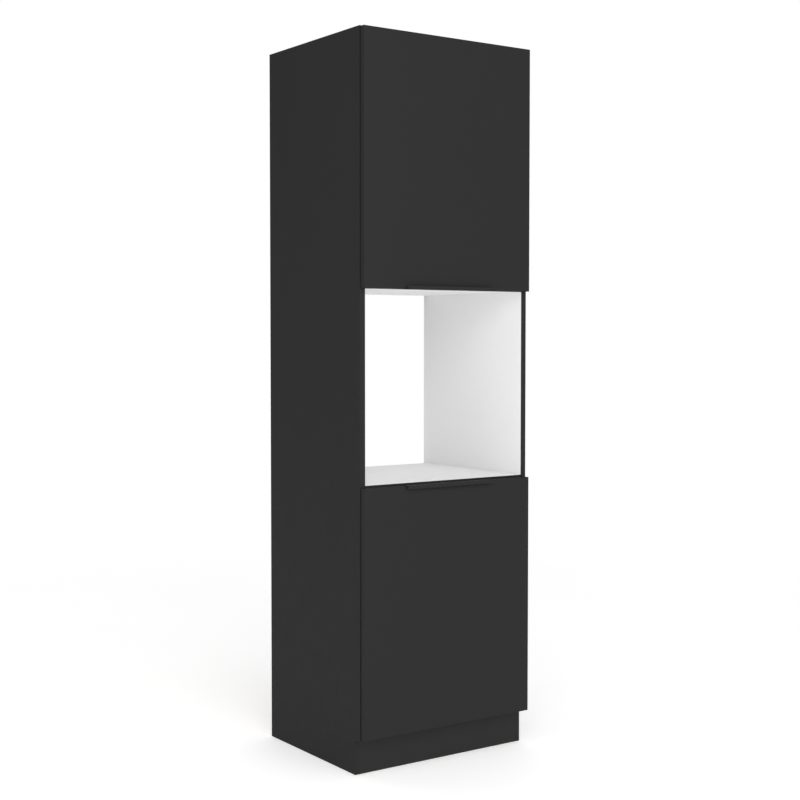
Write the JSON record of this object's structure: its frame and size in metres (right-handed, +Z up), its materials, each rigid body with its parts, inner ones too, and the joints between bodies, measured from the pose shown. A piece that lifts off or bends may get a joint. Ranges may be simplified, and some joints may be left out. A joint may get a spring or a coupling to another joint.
{
  "type": "tall oven cabinet",
  "caption": "Tall kitchen cabinet for a built-in oven: open through niche between an upper and a lower hinged door, handle profiles on the doors, recessed plinth.",
  "frame": {"origin": "on the floor, under the middle of the overall width and depth, handles included", "axes": "+Z up, +X to the right seen from the front, +Y from the front to the back"},
  "size_m": [0.6, 0.5314, 2.1],
  "materials": {
    "two_tone_board": "matt melamine, graphite outside and white inside",
    "white_board": "matt white melamine",
    "hardboard": "white lacquered hardboard, plain brown behind",
    "graphite_board": "matt graphite melamine",
    "graphite_front": "super-matt graphite laminate",
    "graphite_band": "matt graphite edge band",
    "white_band": "matt white edge band",
    "black_aluminium": "fine-brushed black anodised",
    "plated_steel": "nickel-plated",
    "zinc": "die-cast zinc",
    "beech": "bare wood",
    "clear_plastic": "translucent soft plastic",
    "black_plastic": "moulded"
  },
  "bodies": {
    "carcass": {"side_panel_left": "two_tone_board", "side_panel_right": "two_tone_board", "top_panel": "white_board", "bottom_panel": "white_board", "oven_shelf": "white_board", "oven_ceiling": "white_board", "lower_shelf": "white_board", "upper_shelf": "white_board", "lower_back_panel": "hardboard", "upper_back_panel": "hardboard", "plinth_board": "graphite_board", "carcass_edge_bands": "graphite_band", "shelf_edge_bands": "white_band", "cam_locks": "zinc", "cam_bolts": "plated_steel", "dowels": "beech", "shelf_pins": "plated_steel", "glides": "black_plastic", "wall_brackets": "plated_steel", "plinth_brackets": "plated_steel", "bracket_screws": "plated_steel", "back_panel_screws": "plated_steel", "hinge_arm_screws": "plated_steel", "upper_hinge_plates": "plated_steel", "upper_hinge_arms": "plated_steel", "upper_hinge_arm_pins": "plated_steel", "upper_hinge_plate_screws": "plated_steel", "lower_hinge_plates": "plated_steel", "lower_hinge_arms": "plated_steel", "lower_hinge_arm_pins": "plated_steel", "lower_hinge_plate_screws": "plated_steel"},
    "upper_hinge_outer_links": {"upper_hinge_outer_links": "plated_steel"},
    "upper_door": {"upper_door": "graphite_front", "upper_door_edge_bands": "graphite_band", "upper_handle": "black_aluminium", "upper_handle_screws": "plated_steel", "upper_door_bumpers": "clear_plastic", "upper_hinge_cups": "plated_steel", "upper_hinge_cup_pins": "plated_steel", "upper_hinge_cup_screws": "plated_steel"},
    "upper_hinge_inner_links": {"upper_hinge_inner_links": "plated_steel"},
    "lower_hinge_outer_links": {"lower_hinge_outer_links": "plated_steel"},
    "lower_door": {"lower_door": "graphite_front", "lower_door_edge_bands": "graphite_band", "lower_handle": "black_aluminium", "lower_handle_screws": "plated_steel", "lower_door_bumpers": "clear_plastic", "lower_hinge_cups": "plated_steel", "lower_hinge_cup_pins": "plated_steel", "lower_hinge_cup_screws": "plated_steel"},
    "lower_hinge_inner_links": {"lower_hinge_inner_links": "plated_steel"}
  },
  "joints": [
    {"name": "upper_outer_link_swing", "type": "hinge", "parent": "carcass", "child": "upper_hinge_outer_links", "pos_m": [0.2693, -0.20995, 1.73725], "axis": [0, 0, 1], "range_deg": [-16.8, 0]},
    {"name": "upper_door_swing", "type": "hinge", "parent": "upper_hinge_outer_links", "child": "upper_door", "pos_m": [0.2915, -0.23935, 1.73725], "axis": [0, 0, 1], "range_deg": [0, 121.6]},
    {"name": "upper_inner_link_swing", "type": "hinge", "parent": "carcass", "child": "upper_hinge_inner_links", "pos_m": [0.2751, -0.23165, 1.73725], "axis": [0, 0, 1], "range_deg": [0, 2.5]},
    {"name": "lower_outer_link_swing", "type": "hinge", "parent": "carcass", "child": "lower_hinge_outer_links", "pos_m": [0.2693, -0.20995, 0.4615], "axis": [0, 0, 1], "range_deg": [-16.8, 0]},
    {"name": "lower_door_swing", "type": "hinge", "parent": "lower_hinge_outer_links", "child": "lower_door", "pos_m": [0.2915, -0.23935, 0.4615], "axis": [0, 0, 1], "range_deg": [0, 121.6]},
    {"name": "lower_inner_link_swing", "type": "hinge", "parent": "carcass", "child": "lower_hinge_inner_links", "pos_m": [0.2751, -0.23165, 0.4615], "axis": [0, 0, 1], "range_deg": [0, 2.5]}
  ],
  "couplings": [
    {"joint": "upper_outer_link_swing", "follows": "upper_door_swing", "ratio": -0.13644},
    {"joint": "upper_inner_link_swing", "follows": "upper_door_swing", "ratio": 0.019257},
    {"joint": "lower_outer_link_swing", "follows": "lower_door_swing", "ratio": -0.13644},
    {"joint": "lower_inner_link_swing", "follows": "lower_door_swing", "ratio": 0.019257}
  ]
}
